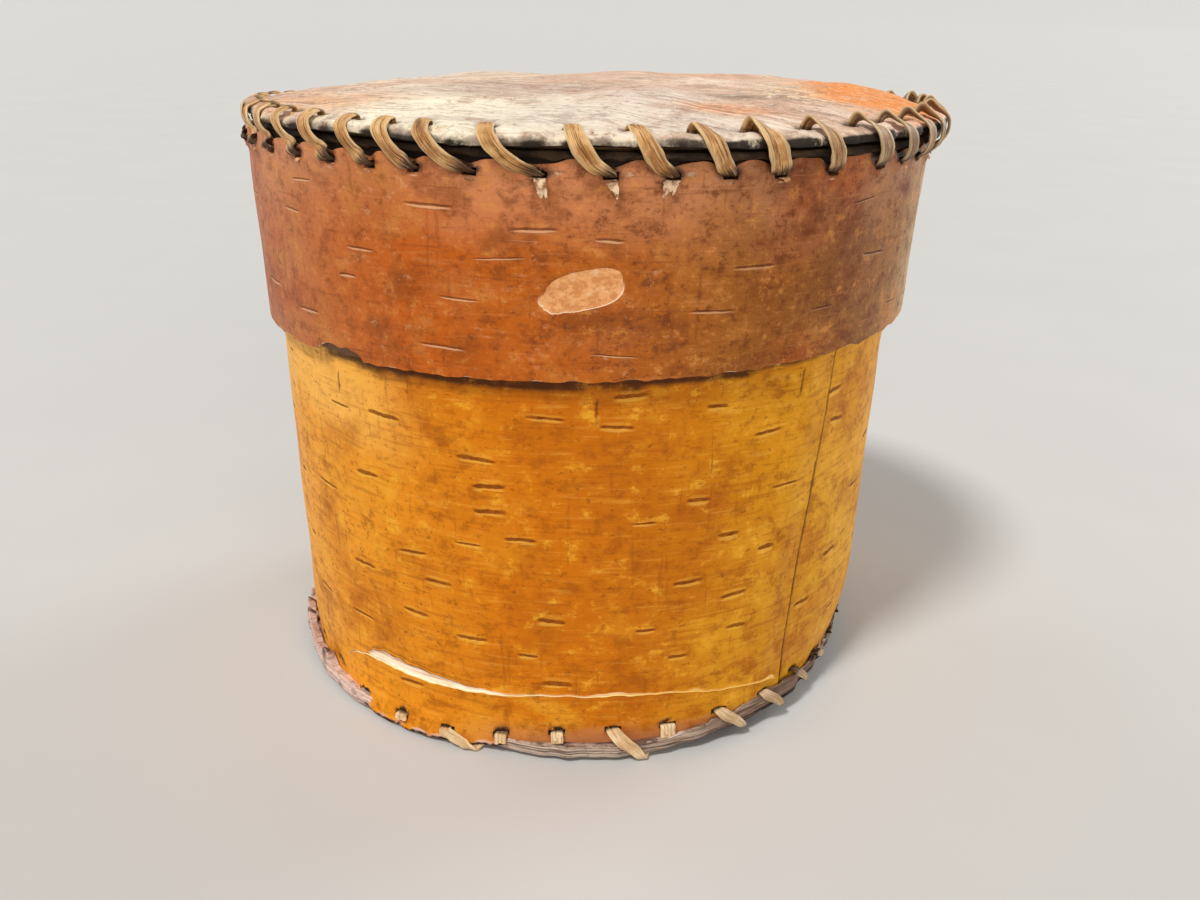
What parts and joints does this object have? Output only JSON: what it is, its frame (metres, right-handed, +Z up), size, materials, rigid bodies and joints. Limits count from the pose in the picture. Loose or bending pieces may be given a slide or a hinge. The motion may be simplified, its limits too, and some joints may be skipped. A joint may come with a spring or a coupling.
{
  "type": "birch bark box with lid",
  "caption": "Round storage box of layered birch bark with a flared wall, a deep domed lift-off lid and split-root lacing round the lid and the base.",
  "frame": {"origin": "on the floor under the middle of the base", "axes": "+Z up along the box's axis, -Y towards the front, where the side seam is to the right"},
  "size_m": [0.2042, 0.2042, 0.1706],
  "materials": {
    "wall_bark": "satin",
    "inner_bark": "matte",
    "base_bark": "matte",
    "band_bark": "satin",
    "outer_bark": "matte",
    "dark_bark": "matte",
    "lid_root": "satin",
    "base_root": "satin",
    "withe": "satin"
  },
  "bodies": {
    "box": {"wall_sheet": "wall_bark", "wall_lining": "inner_bark", "base_upper": "base_bark", "base_lower": "base_bark", "base_root_right": "base_root", "base_root_left": "base_root", "base_root_singles": "base_root", "base_root_stubs": "base_root", "rim_hoop": "withe", "rim_ties": "base_root"},
    "lid": {"lid_band": "band_bark", "lid_lining": "inner_bark", "lid_top": "outer_bark", "lid_under": "dark_bark", "lid_root_front": "lid_root", "lid_root_back": "lid_root"}
  },
  "joints": [
    {"name": "lid_lift", "type": "slide", "parent": "box", "child": "lid", "axis": [0, 0, 1], "range_m": [0, 0.08]}
  ]
}
